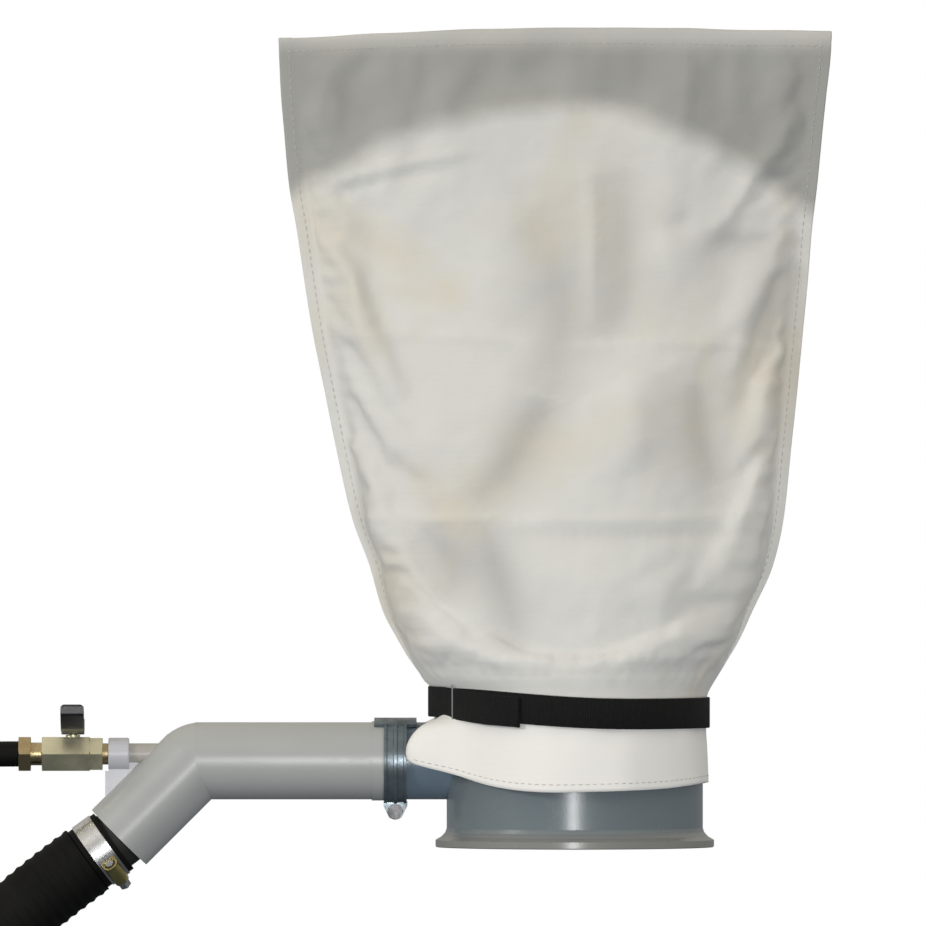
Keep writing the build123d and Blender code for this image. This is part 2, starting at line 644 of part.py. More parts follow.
def main():
    os.makedirs("parts", exist_ok=True)
    pieces = make_drum()
    elbow, elbow_outer = make_elbow()
    pieces |= elbow
    pieces |= make_coupling()
    pieces |= make_nozzle(elbow_outer)
    pieces |= make_valve()
    pieces |= make_lever()
    pieces |= make_air_line()
    pieces |= make_suction_line()
    pieces |= make_clamp()
    pieces |= make_bag()
    for name, shape in pieces.items():
        save(name, shape)


main()
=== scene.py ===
import math

import bmesh
import bpy
import numpy as np
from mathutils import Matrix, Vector


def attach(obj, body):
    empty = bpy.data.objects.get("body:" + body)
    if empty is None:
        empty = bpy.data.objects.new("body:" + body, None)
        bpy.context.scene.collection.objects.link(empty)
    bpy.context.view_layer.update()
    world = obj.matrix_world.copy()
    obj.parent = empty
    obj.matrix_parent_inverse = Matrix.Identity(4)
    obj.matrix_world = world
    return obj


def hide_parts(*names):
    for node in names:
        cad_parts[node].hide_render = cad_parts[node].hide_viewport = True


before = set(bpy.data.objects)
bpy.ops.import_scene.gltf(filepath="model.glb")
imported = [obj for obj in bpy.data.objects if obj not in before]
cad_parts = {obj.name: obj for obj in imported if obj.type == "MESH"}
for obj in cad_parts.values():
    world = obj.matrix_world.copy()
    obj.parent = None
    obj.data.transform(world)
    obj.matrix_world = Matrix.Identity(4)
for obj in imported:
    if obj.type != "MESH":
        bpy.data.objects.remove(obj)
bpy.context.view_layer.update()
print("stage: frame loaded,", len(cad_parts), "nodes")


# camera, light and floor

view = {"distance": 12.0, "aimX": -0.0698, "aimZ": 0.2398, "lens": 747.0}
studio = {
    "floorZ": -0.80,
    "floorSize": 9.0,
    "above": (0.66, 0.62, 0.55, 1),
    "level": (0.27, 0.28, 0.29, 1),
    "below": (0.075, 0.085, 0.095, 1),
    "keyPlace": (-2.3, -1.35, 0.9),
    "keySize": 0.6,
    "keyPower": 24.0,
    "keyTint": (1, 0.99, 0.96),
    "stripPlace": (-0.05, -1.9, 0.12),
    "stripWide": 0.20,
    "stripTall": 0.5,
    "stripPower": 11.0,
    "stripAim": (0, 0, 0.1),
    "frontPlace": (0.35, -2.4, -0.35),
    "frontWide": 1.0,
    "frontTall": 0.8,
    "frontPower": 22.0,
    "frontTint": (0.97, 0.985, 1),
    "bagMiddle": (0, 0, 0.3),
}


def makeCamera():
    data = bpy.data.cameras.new("camera")
    data.lens = view["lens"]
    data.sensor_width = 36.0
    data.clip_start = 0.5
    data.clip_end = 60.0
    holder = bpy.data.objects.new("camera", data)
    holder.location = (view["aimX"], -view["distance"], view["aimZ"])
    holder.rotation_euler = (math.radians(90), 0, 0)
    bpy.context.scene.collection.objects.link(holder)
    bpy.context.scene.camera = holder


def makeLight(name, place, target, wide, tall, power, tint=(1, 1, 1), glossOnly=False, shadeOnly=False):
    data = bpy.data.lights.new(name, "AREA")
    data.shape = "RECTANGLE"
    data.size = wide
    data.size_y = tall
    data.energy = power
    data.color = tint
    holder = bpy.data.objects.new(name, data)
    holder.location = place
    holder.rotation_euler = (Vector(target) - Vector(place)).to_track_quat("-Z", "Y").to_euler()
    holder.visible_camera = False
    holder.visible_diffuse = not glossOnly
    holder.visible_glossy = not shadeOnly
    bpy.context.scene.collection.objects.link(holder)


def makeWorld():
    world = bpy.data.worlds.new("studio")
    world.use_nodes = True
    tree = world.node_tree
    shade = tree.nodes["Background"]
    # warm from above, cool and dim from below, and plain white where the camera looks past the object
    sight = tree.nodes.new("ShaderNodeTexCoord")
    part = tree.nodes.new("ShaderNodeSeparateXYZ")
    tree.links.new(sight.outputs["Generated"], part.inputs[0])
    level = tree.nodes.new("ShaderNodeMapRange")
    level.inputs["From Min"].default_value = -1.0
    tree.links.new(part.outputs[2], level.inputs["Value"])
    ramp = tree.nodes.new("ShaderNodeValToRGB")
    ramp.color_ramp.elements[0].color = studio["below"]
    ramp.color_ramp.elements[0].position = 0.25
    ramp.color_ramp.elements[1].color = studio["above"]
    ramp.color_ramp.elements[1].position = 0.8
    middle = ramp.color_ramp.elements.new(0.5)
    middle.color = studio["level"]
    tree.links.new(level.outputs[0], ramp.inputs[0])
    path = tree.nodes.new("ShaderNodeLightPath")
    mix = tree.nodes.new("ShaderNodeMix")
    mix.data_type = "RGBA"
    mix.inputs[7].default_value = (1, 1, 1, 1)
    tree.links.new(path.outputs["Is Camera Ray"], mix.inputs[0])
    tree.links.new(ramp.outputs[0], mix.inputs[6])
    tree.links.new(mix.outputs[2], shade.inputs["Color"])
    bpy.context.scene.world = world
    bpy.context.scene.view_settings.view_transform = "Standard"


def makeFloor():
    half = studio["floorSize"] / 2
    mesh = bpy.data.meshes.new("floor")
    z = studio["floorZ"]
    corners = [(-half, -half, z), (half, -half, z), (half, half, z), (-half, half, z)]
    mesh.from_pydata(corners, [], [(0, 1, 2, 3)])
    floor = bpy.data.objects.new("floor", mesh)
    pale = bpy.data.materials.new("paleFloor")
    pale.use_nodes = True
    surface = pale.node_tree.nodes["Principled BSDF"]
    surface.inputs["Base Color"].default_value = (0.86, 0.86, 0.85, 1)
    surface.inputs["Roughness"].default_value = 0.8
    mesh.materials.append(pale)
    bpy.context.scene.collection.objects.link(floor)
    floor.visible_diffuse = False
    floor.visible_glossy = False


makeCamera()
makeWorld()
makeFloor()
makeLight("key", studio["keyPlace"], studio["bagMiddle"], studio["keySize"], studio["keySize"],
          studio["keyPower"], studio["keyTint"])
makeLight("strip", studio["stripPlace"], studio["stripAim"], studio["stripWide"], studio["stripTall"],
          studio["stripPower"], glossOnly=True)
makeLight("front", studio["frontPlace"], studio["bagMiddle"], studio["frontWide"], studio["frontTall"],
          studio["frontPower"], studio["frontTint"], shadeOnly=True)
print("stage: camera, light and floor")


# shader maths

class Wire:
    # one output socket of a material's tree; expressions on it add Math nodes
    def __init__(self, tree, socket=None):
        self.tree = tree
        self.socket = socket

    def make(self, kind, settings, inputs, output=0):
        node = self.tree.nodes.new(kind)
        for key, value in settings.items():
            if key == "stops":
                self.setStops(node.color_ramp, value)
            else:
                setattr(node, key, value)
        for key, value in inputs.items():
            if isinstance(value, Wire):
                self.tree.links.new(value.socket, node.inputs[key])
            else:
                node.inputs[key].default_value = value
        return Wire(self.tree, node.outputs[output])

    def setStops(self, ramp, stops):
        for number, (place, shade) in enumerate(stops):
            stop = ramp.elements[number]
            stop.position = place
            stop.color = (shade, shade, shade, 1)

    def maths(self, operation, *values):
        return self.make("ShaderNodeMath", {"operation": operation}, dict(enumerate(values)))

    def __add__(self, other):
        return self.maths("ADD", self, other)

    def __radd__(self, other):
        return self.maths("ADD", other, self)

    def __sub__(self, other):
        return self.maths("SUBTRACT", self, other)

    def __rsub__(self, other):
        return self.maths("SUBTRACT", other, self)

    def __mul__(self, other):
        return self.maths("MULTIPLY", self, other)

    def place(self):
        return self.make("ShaderNodeTexCoord", {}, {}, "Object")

    def stretched(self, scales):
        return self.make("ShaderNodeMapping", {}, {"Vector": self.place(), "Scale": scales})

    def noise(self, scale, detail=3.0, rough=0.5, vector=None, twist=0.0):
        vector = vector or self.place()
        return self.make("ShaderNodeTexNoise", {}, {
            "Vector": vector, "Scale": scale, "Detail": detail, "Roughness": rough, "Distortion": twist})

    def part(self, axis, vector=None):
        return self.make("ShaderNodeSeparateXYZ", {}, {0: vector or self.place()}, axis)

    def ramp(self, low, high):
        # black up to low, white from high
        return self.make("ShaderNodeValToRGB", {"stops": [(low, 0.0), (high, 1.0)]}, {0: self})

    def blend(self, first, second):
        return self.make("ShaderNodeMix", {"data_type": "RGBA"}, {0: self, 6: first, 7: second}, 2)

    def bump(self, distance):
        return self.make("ShaderNodeBump", {}, {"Height": self, "Distance": distance, "Strength": 1.0})


def makeFinish(name, draw, **fixed):
    material = bpy.data.materials.new(name)
    material.use_nodes = True
    tree = material.node_tree
    surface = tree.nodes["Principled BSDF"]
    for key, value in fixed.items():
        surface.inputs[key.replace("_", " ")].default_value = value
    for key, value in draw(Wire(tree)).items():
        tree.links.new(value.socket, surface.inputs[key])
    return material


def rgb(red, green, blue):
    return (red, green, blue, 1)


def moulded(light, dark, gloss, dull, grain=0.00004, blotch=9.0):
    # moulded plastic: faint flow marks, a fine grain and dust that dulls it in patches
    def draw(wire):
        cloud = wire.noise(blotch, 4.0)
        speck = wire.noise(900.0, 2.0)
        marks = wire.noise(30.0, 3.0, 0.6, wire.stretched((0.4, 0.4, 2.2)))
        colour = (cloud * 0.7 + marks * 0.3).ramp(0.35, 0.65).blend(light, dark)
        dust = wire.noise(55.0, 6.0, 0.7).ramp(0.55, 0.8)
        rough = gloss + dust * (dull - gloss)
        return {"Base Color": colour, "Roughness": rough, "Normal": (speck + marks * 2.0).bump(grain)}
    return draw


def machined(light, dark, gloss, dull, turned=(3, 1, 1), scratch=0.00003, spot=60.0):
    # machined or plated metal: fine tool marks, tarnish in spots
    def draw(wire):
        tool = wire.noise(1600.0, 2.0, 0.6, wire.stretched(turned))
        spots = wire.noise(spot, 5.0, 0.65).ramp(0.42, 0.68)
        colour = spots.blend(light, dark)
        rough = gloss + spots * (dull - gloss) + tool * 0.08
        return {"Base Color": colour, "Roughness": rough, "Normal": tool.bump(scratch)}
    return draw


def rubbery(light, dark, gloss, dull, grain=0.00006):
    # matt rubber or thread: cloudy colour, a fine skin and a bloom that shines a little
    def draw(wire):
        cloud = wire.noise(26.0, 5.0, 0.6)
        skin = wire.noise(1400.0, 3.0, 0.7)
        bloom = wire.noise(8.0, 3.0).ramp(0.4, 0.75)
        rough = dull - bloom * (dull - gloss)
        colour = cloud.ramp(0.35, 0.7).blend(dark, light)
        return {"Base Color": colour, "Roughness": rough, "Normal": skin.bump(grain)}
    return draw


def drumDraw(wire):
    draw = moulded(rgb(0.175, 0.212, 0.230), rgb(0.158, 0.190, 0.207), 0.24, 0.38)(wire)
    low = 1 - (wire.part(2) * 60.0).ramp(0.25, 0.75)
    draw["Base Color"] = (low * 0.55).blend(draw["Base Color"], rgb(0.33, 0.30, 0.26))
    return draw


finishes = {
    "drum": makeFinish("drumPlastic", drumDraw, Specular_IOR_Level=0.5),
    "branch": makeFinish(
        "branchPlastic", moulded(rgb(0.165, 0.225, 0.285), rgb(0.14, 0.19, 0.24), 0.26, 0.4)),
    "pipe": makeFinish("pipePlastic", moulded(rgb(0.46, 0.47, 0.46), rgb(0.41, 0.42, 0.415), 0.30, 0.46)),
    "socket": makeFinish("socketPlastic", moulded(rgb(0.64, 0.64, 0.67), rgb(0.56, 0.56, 0.60), 0.3, 0.45)),
    "tube": makeFinish("tubePlastic", moulded(rgb(0.50, 0.475, 0.42), rgb(0.42, 0.40, 0.37), 0.34, 0.5)),
    "band": makeFinish("bandPaint", machined(rgb(0.17, 0.21, 0.24), rgb(0.10, 0.115, 0.12), 0.22, 0.42),
                       Metallic=0.55),
    "steel": makeFinish("zincSteel", machined(rgb(0.60, 0.61, 0.62), rgb(0.40, 0.41, 0.42), 0.22, 0.45),
                        Metallic=1.0),
    "darkBolt": makeFinish(
        "darkBoltSteel", machined(rgb(0.30, 0.30, 0.31), rgb(0.16, 0.16, 0.165), 0.45, 0.6),
        Metallic=0.8),
    "chrome": makeFinish("chromeSteel", machined(rgb(0.78, 0.78, 0.78), rgb(0.66, 0.66, 0.66), 0.08, 0.2),
                         Metallic=1.0),
    "valve": makeFinish("valveBrass", machined(rgb(0.80, 0.76, 0.55), rgb(0.66, 0.63, 0.45), 0.36, 0.50),
                        Metallic=1.0),
    "brass": makeFinish("bareBrass", machined(rgb(0.55, 0.44, 0.24), rgb(0.33, 0.26, 0.15), 0.2, 0.42),
                        Metallic=1.0),
    "housing": makeFinish(
        "yellowZinc", machined(rgb(0.60, 0.52, 0.22), rgb(0.36, 0.30, 0.12), 0.22, 0.45, spot=160.0),
        Metallic=1.0),
    "clamp": makeFinish(
        "clampSteel", machined(rgb(0.70, 0.70, 0.70), rgb(0.50, 0.51, 0.52), 0.22, 0.42, spot=420.0),
        Metallic=1.0),
    "lever": makeFinish(
        "leverPlastic", moulded(rgb(0.020, 0.020, 0.023), rgb(0.012, 0.012, 0.014), 0.3, 0.5)),
    "seat": makeFinish("seatPlastic", moulded(rgb(0.78, 0.78, 0.75), rgb(0.70, 0.70, 0.67), 0.4, 0.55)),
    "rubber": makeFinish(
        "softRubber", rubbery(rgb(0.030, 0.029, 0.028), rgb(0.012, 0.012, 0.012), 0.5, 0.75)),
    "hose": makeFinish(
        "hoseRubber", rubbery(rgb(0.007, 0.007, 0.0055), rgb(0.003, 0.003, 0.003), 0.6, 0.85),
        Specular_IOR_Level=0.16),
}

carried = {
    "drum": ["drum_body"],
    "branch": ["drum_branch"],
    "pipe": ["elbow_pipe"],
    "socket": ["inlet_socket", "nozzle_web"],
    "tube": ["nozzle_tube"],
    "band": ["coupling_band"],
    "steel": ["lever_screw", "air_ferrule", "air_plug", "clamp_screw"],
    "darkBolt": ["coupling_bolt", "coupling_nut", "coupling_washers"],
    "chrome": ["strap_loop", "valve_ball"],
    "valve": ["valve_body", "valve_end_piece"],
    "brass": ["nozzle_tip", "valve_nipple", "hose_tail", "valve_stem"],
    "housing": ["clamp_housing"],
    "clamp": ["clamp_band"],
    "lever": ["valve_lever"],
    "seat": ["valve_seats"],
    "rubber": ["coupling_gasket", "stem_seal", "hose_spigot"],
    "hose": ["hose_near_cuff", "hose_end_cuff", "suction_hose", "air_hose"],
}


def paintNodes():
    for finish, names in carried.items():
        for name in names:
            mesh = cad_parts[name].data
            mesh.materials.clear()
            mesh.materials.append(finishes[finish])


paintNodes()
print("stage: materials on the carried nodes")


# helpers for pieces

def addPiece(name, mesh, material):
    piece = bpy.data.objects.new(name, mesh)
    bpy.context.scene.collection.objects.link(piece)
    mesh.materials.clear()
    mesh.materials.append(material)
    for face in mesh.polygons:
        face.use_smooth = True
    return piece


def settle(piece):
    # turns a piece and its modifiers into a plain mesh
    graph = bpy.context.evaluated_depsgraph_get()
    graph.update()
    mesh = bpy.data.meshes.new_from_object(piece.evaluated_get(graph))
    piece.modifiers.clear()
    piece.data = mesh


def facesOut(mesh):
    shape = bmesh.new()
    shape.from_mesh(mesh)
    if shape.calc_volume(signed=True) < 0:
        bmesh.ops.reverse_faces(shape, faces=shape.faces)
    shape.to_mesh(mesh)
    shape.free()


def gridFaces(rows, columns):
    faces = []
    for row in range(rows - 1):
        for column in range(columns):
            beside = (column + 1) % columns
            low = row * columns
            high = low + columns
            faces.append((low + column, low + beside, high + beside, high + column))
    return faces


class NodeTree:
    # a Geometry Nodes group under construction
    def __init__(self, name, inputs):
        self.group = bpy.data.node_groups.new(name, "GeometryNodeTree")
        face = self.group.interface
        face.new_socket("Geometry", in_out="INPUT", socket_type="NodeSocketGeometry")
        for label, (kind, value) in inputs.items():
            socket = face.new_socket(label, in_out="INPUT", socket_type="NodeSocket" + kind)
            if value is not None:
                socket.default_value = value
        face.new_socket("Geometry", in_out="OUTPUT", socket_type="NodeSocketGeometry")
        self.entry = self.group.nodes.new("NodeGroupInput")
        self.leave = self.group.nodes.new("NodeGroupOutput")

    def add(self, kind, inputs, output=0, **settings):
        node = self.group.nodes.new(kind)
        for key, value in settings.items():
            setattr(node, key, value)
        for key, value in inputs.items():
            if isinstance(value, bpy.types.NodeSocket):
                self.group.links.new(value, node.inputs[key])
            else:
                node.inputs[key].default_value = value
        return node.outputs[output]

    def given(self, label):
        return self.entry.outputs[label]

    def maths(self, operation, *values):
        return self.add("ShaderNodeMath", dict(enumerate(values)), operation=operation)

    def close(self, geometry):
        real = self.add("GeometryNodeRealizeInstances", {0: geometry})
        painted = self.add("GeometryNodeSetMaterial", {0: real, "Material": self.given("Finish")})
        self.group.links.new(painted, self.leave.inputs[0])

    def run(self, piece, **values):
        change = piece.modifiers.new(self.group.name, "NODES")
        change.node_group = self.group
        for item in self.group.interface.items_tree:
            if item.in_out == "INPUT" and item.name in values:
                change[item.identifier] = values[item.name]
        graph = bpy.context.evaluated_depsgraph_get()
        graph.update()
        return bpy.data.meshes.new_from_object(piece.evaluated_get(graph))


# hoses

suctionHose = {
    "exit": (-0.303975, 0, -0.007966),
    "points": [
        (-0.33148, 0, -0.02795), (-0.36268, 0, -0.05607), (-0.39738, 0.001, -0.09747),
        (-0.43038, 0.003, -0.15227), (-0.45688, 0.006, -0.22137), (-0.47288, 0.009, -0.30387),
        (-0.47758, 0.012, -0.39377), (-0.47288, 0.014, -0.48367), (-0.46548, 0.014, -0.56837),
        (-0.46288, 0.013, -0.64327), (-0.46288, 0.013, -0.70327)],
    "diameter": 0.046,
    "length": 0.75,
    "ribPitch": 0.0072,
    "ribDepth": 0.0009,
    "step": 0.0012,
    "sides": 48,
}
airHose = {
    "exit": (-0.3473, 0, 0.0581),
    "points": [
        (-0.3989, 0, 0.0581), (-0.4519, -0.003, 0.047), (-0.4939, -0.008, 0.015), (-0.5189, -0.013, -0.032),
        (-0.5289, -0.017, -0.092), (-0.5299, -0.019, -0.16), (-0.5259, -0.019, -0.228),
        (-0.5209, -0.018, -0.294), (-0.5189, -0.017, -0.352), (-0.5189, -0.017, -0.405)],
    "diameter": 0.016,
    "length": 0.585,
    "ribPitch": 0.0021,
    "ribDepth": 0.00014,
    "step": 0.0007,
    "sides": 24,
}


def hoseTree():
    tree = NodeTree("hoseWall", {
        "Finish": ("Material", None), "Radius": ("Float", 0.02), "Pitch": ("Float", 0.007),
        "Depth": ("Float", 0.001), "Step": ("Float", 0.002), "Sides": ("Int", 40)})
    line = tree.add("GeometryNodeResampleCurve", {
        "Curve": tree.given("Geometry"), "Length": tree.given("Step")}, mode="LENGTH")
    along = tree.add("GeometryNodeSplineParameter", {}, "Length")
    saveLine = tree.group.nodes.new("GeometryNodeCaptureAttribute")
    saveLine.capture_items.new("FLOAT", "Along")
    tree.group.links.new(line, saveLine.inputs[0])
    tree.group.links.new(along, saveLine.inputs[1])
    ring = tree.add("GeometryNodeCurvePrimitiveCircle", {
        "Resolution": tree.given("Sides"), "Radius": tree.given("Radius")})
    around = tree.add("GeometryNodeSplineParameter", {}, "Factor")
    saveRing = tree.group.nodes.new("GeometryNodeCaptureAttribute")
    saveRing.capture_items.new("FLOAT", "Around")
    tree.group.links.new(ring, saveRing.inputs[0])
    tree.group.links.new(around, saveRing.inputs[1])
    wall = tree.add("GeometryNodeCurveToMesh", {
        "Curve": saveLine.outputs[0], "Profile Curve": saveRing.outputs[0], "Fill Caps": True})
    turns = tree.maths("DIVIDE", saveLine.outputs[1], tree.given("Pitch"))
    turns = tree.maths("ADD", turns, saveRing.outputs[1])
    wave = tree.maths("COSINE", tree.maths("MULTIPLY", turns, 2 * math.pi))
    # a rounded rib with a wider flat valley between its turns
    rib = tree.maths("POWER", tree.maths("MULTIPLY_ADD", wave, 0.5, 0.5), 1.6)
    push = tree.maths("MULTIPLY", tree.maths("SUBTRACT", rib, 0.8), tree.given("Depth"))
    normal = tree.add("GeometryNodeInputNormal", {})
    shift = tree.add("ShaderNodeVectorMath", {0: normal, "Scale": push}, operation="SCALE")
    tree.close(tree.add("GeometryNodeSetPosition", {"Geometry": wall, "Offset": shift}))
    return tree


def routeCurve(name, facts):
    curve = bpy.data.curves.new(name, "CURVE")
    curve.dimensions = "3D"
    spline = curve.splines.new("NURBS")
    points = [facts["exit"], *facts["points"]]
    spline.points.add(len(points) - 1)
    for point, place in zip(spline.points, points):
        point.co = (*place, 1)
    spline.order_u = 3
    spline.use_endpoint_u = True
    spline.resolution_u = 24
    route = bpy.data.objects.new(name, curve)
    bpy.context.scene.collection.objects.link(route)
    return route


def routePoints(route):
    graph = bpy.context.evaluated_depsgraph_get()
    graph.update()
    mesh = bpy.data.meshes.new_from_object(route.evaluated_get(graph))
    return [tuple(vertex.co) for vertex in mesh.vertices]


def makeHose(name, facts, tree, node):
    route = routeCurve(name + "Route", facts)
    path = routePoints(route)
    mesh = tree.run(route, Finish=finishes["hose"], Radius=facts["diameter"] / 2, Pitch=facts["ribPitch"],
                    Depth=facts["ribDepth"], Step=facts["step"], Sides=facts["sides"])
    bpy.data.objects.remove(route)
    facesOut(mesh)
    hose = addPiece(name, mesh, finishes["hose"])
    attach(hose, "collector")
    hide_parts(node)


hoses = hoseTree()
makeHose("ribbedSuctionHose", suctionHose, hoses, "suction_hose")
makeHose("rubberAirHose", airHose, hoses, "air_hose")
print("stage: hoses")


# filter bag

mm = 0.001
bag = {
    "columns": 116,
    "rows": 100,
    "wall": 0.0008,
    # height, left edge, right edge, half depth in front, behind, how lens-like, seam fin width; all mm
    "sections": [
        (34.0, -88.0, 88.0, 87.6, 87.6, 0.0, 0.0),
        (60.0, -84.6, 84.6, 84.6, 84.6, 0.0, 0.0),
        (78.0, -82.2, 82.2, 82.2, 82.2, 0.0, 0.0),
        (96.0, -82.2, 82.2, 82.2, 82.2, 0.0, 0.0),
        (103.0, -93.0, 86.0, 83.0, 82.5, 0.0, 0.0),
        (112.0, -100.0, 92.0, 84.5, 83.0, 0.0, 1.5),
        (128.6, -109.7, 102.4, 84.5, 82.5, 0.02, 3.0),
        (147.4, -119.7, 111.0, 82.5, 80.5, 0.05, 5.0),
        (175.5, -127.8, 123.8, 79.0, 76.5, 0.10, 7.0),
        (205.0, -138.7, 130.5, 72.5, 70.0, 0.18, 8.0),
        (250.4, -149.1, 135.4, 60.5, 58.5, 0.30, 9.0),
        (284.1, -155.9, 139.0, 51.5, 50.0, 0.40, 9.0),
        (324.7, -164.1, 142.9, 42.0, 40.0, 0.50, 9.0),
        (355.0, -168.9, 145.8, 35.0, 33.5, 0.60, 9.0),
        (385.3, -173.4, 148.2, 29.0, 27.0, 0.65, 9.0),
        (414.0, -178.4, 151.6, 22.5, 21.0, 0.70, 9.0),
        (448.4, -181.5, 155.0, 15.5, 14.0, 0.80, 9.0),
        (471.5, -183.4, 157.4, 10.5, 10.0, 0.85, 9.0),
        (495.0, -184.4, 160.0, 5.0, 4.5, 0.9, 9.0),
        (503.0, -184.7, 160.4, 1.7, 1.6, 0.3, 9.0),
        (510.5, -184.8, 160.4, 1.3, 1.3, 0.0, 9.0),
    ],
    "seamHalf": 0.9,
    "slack": 0.035,
    "pressure": 1.6,
    "bendStiffness": 0.35,
    "frames": 24,
    "mostMove": 8.0,
    "pucker": 2.6,
    "foldGain": 1.35,
    "creaseGain": 1.6,
    "hemFold": 0.5,
    "layerGap": 2.0,
    "deepestShare": 0.55,
    # the back carries the front's folds mirrored and moved along, and lower by foldDrop or creaseDrop
    "backShift": 24,
    "foldDrop": 9,
    "creaseDrop": 6,
    # folds on the front: ends and middle (x, z), reach across, rise; mm
    "broadFolds": [
        ("archShade", (-150, 438), (-22, 560), (122, 428), 18, -5.0),
        ("archBulge", (-148, 410), (-20, 520), (118, 404), 18, 5.0),
        ("rightCorner", (152, 490), (118, 462), (100, 424), 10, -6.0),
        ("leftCorner", (-176, 488), (-150, 476), (-128, 456), 10, -4.6),
        ("peakCrease", (-52, 505), (-70, 480), (-98, 452), 10, 3.0),
        ("longShade", (24, 424), (42, 372), (22, 312), 17, -5.0),
        ("valleyTop", (-30, 398), (10, 350), (-18, 280), 20, -5.0),
        ("valleyTurn", (-18, 282), (-28, 240), (-62, 214), 16, -7.5),
        ("valleyFoot", (-60, 206), (-44, 160), (-34, 122), 14, -6.5),
        ("dentRight", (78, 292), (72, 262), (88, 224), 13, -6.0),
        ("dentLeft", (-98, 200), (-64, 180), (-84, 154), 17, -6.5),
        ("bulgeLeft", (-104, 284), (-84, 262), (-96, 236), 24, 6.0),
        ("bulgeMiddle", (30, 296), (44, 270), (30, 240), 22, 6.5),
        ("bulgeLow", (-92, 144), (-78, 132), (-86, 120), 16, 3.4),
        ("bulgeRight", (58, 178), (66, 160), (50, 146), 20, 5.0),
        ("sideFoldRight", (136, 372), (112, 340), (124, 300), 12, -4.5),
        ("sideFoldLeft", (-150, 372), (-128, 348), (-140, 300), 12, 4.5),
        ("slantFold", (60, 396), (96, 372), (128, 384), 11, -5.2),
        ("slantRise", (48, 372), (90, 392), (118, 404), 12, 4.2),
    ],
    "creases": [
        ("leftShelf", (-172, 409), (-110, 428), (-60, 434), 4.5, 2.0),
        ("leftShelfFoot", (-170, 400), (-118, 419), (-72, 425), 3.5, -1.4),
        ("rightShelf", (85, 433), (120, 424), (150, 412), 4.5, 1.9),
        ("rightShelfFoot", (88, 424), (120, 415), (150, 403), 3.5, -1.3),
        ("middleCrease", (72, 508), (70, 478), (66, 440), 4, 1.5),
        ("longCrease", (9, 426), (12, 390), (8, 330), 3.4, 1.6),
        ("halfCreaseLeft", (-160, 318), (-90, 322), (-20, 314), 3.6, 1.2),
        ("halfCreaseRight", (-10, 312), (60, 318), (140, 310), 3.6, 1.2),
        ("lowCreaseLeft", (-138, 206), (-90, 203), (-50, 206), 4, 1.5),
        ("lowCreaseRight", (-44, 205), (40, 202), (126, 208), 4, 1.5),
        ("lowShade", (-40, 197), (40, 193), (120, 199), 5, -1.4),
        ("neckBand", (-100, 118), (0, 116), (94, 120), 4, 1.3),
        ("neckShade", (-98, 110), (0, 108), (90, 112), 4, -1.3),
    ],
}


def smoothTable(heights, table, column):
    # a smooth run through the table's values, by cubic Hermite spans
    xs = np.array([row[0] for row in table])
    ys = np.array([row[column] for row in table])
    slopes = np.gradient(ys, xs)
    spans = np.diff(ys) / np.diff(xs)
    for number in range(1, len(xs) - 1):
        before, after = spans[number - 1], spans[number]
        slopes[number] = 0.0 if before * after <= 0 else 2 * before * after / (before + after)
    slot = np.clip(np.searchsorted(xs, heights) - 1, 0, len(xs) - 2)
    width = xs[slot + 1] - xs[slot]
    share = np.clip((heights - xs[slot]) / width, 0, 1)
    squared = share * share
    cubed = squared * share
    return (
        (2 * cubed - 3 * squared + 1) * ys[slot] + (cubed - 2 * squared + share) * width * slopes[slot]
        + (3 * squared - 2 * cubed) * ys[slot + 1] + (cubed - squared) * width * slopes[slot + 1])


def softNoise(seed, x, z, scale, octaves=3):
    # smooth waves in random directions, the same in every run
    draw = np.random.default_rng(seed)
    total = np.zeros_like(x)
    for octave in range(octaves):
        reach = scale / 1.9 ** octave
        weight = 0.55 ** octave
        for _ in range(7):
            turn = draw.uniform(0, 2 * math.pi)
            phase = draw.uniform(0, 2 * math.pi)
            speed = 2 * math.pi / (reach * draw.uniform(0.7, 1.5))
            total += weight * np.sin((x * math.cos(turn) + z * math.sin(turn)) * speed + phase) / 7
    return total


def foldRise(x, z, folds):
    # each fold is a quadratic curve that fades out sideways and towards its ends
    total = np.zeros_like(x)
    for _, first, middle, last, reach, rise in folds:
        nearest = np.full_like(x, 1e9)
        ends = np.ones_like(x)
        for share in np.linspace(0, 1, 25):
            px = (1 - share) ** 2 * first[0] + 2 * share * (1 - share) * middle[0] + share ** 2 * last[0]
            pz = (1 - share) ** 2 * first[1] + 2 * share * (1 - share) * middle[1] + share ** 2 * last[1]
            gap = (x - px) ** 2 + (z - pz) ** 2
            taper = 0.25 + 0.75 * math.sin(math.pi * share) ** 0.6
            closer = gap < nearest
            nearest = np.where(closer, gap, nearest)
            ends = np.where(closer, taper, ends)
        crisp = np.sqrt(nearest) / reach
        total += rise * ends * np.exp(-crisp ** 1.4)
    return total


def bothSides(x, z, facing, folds, drop):
    return np.where(facing < 0, foldRise(x, z, folds), foldRise(-x - bag["backShift"], z + drop, folds))


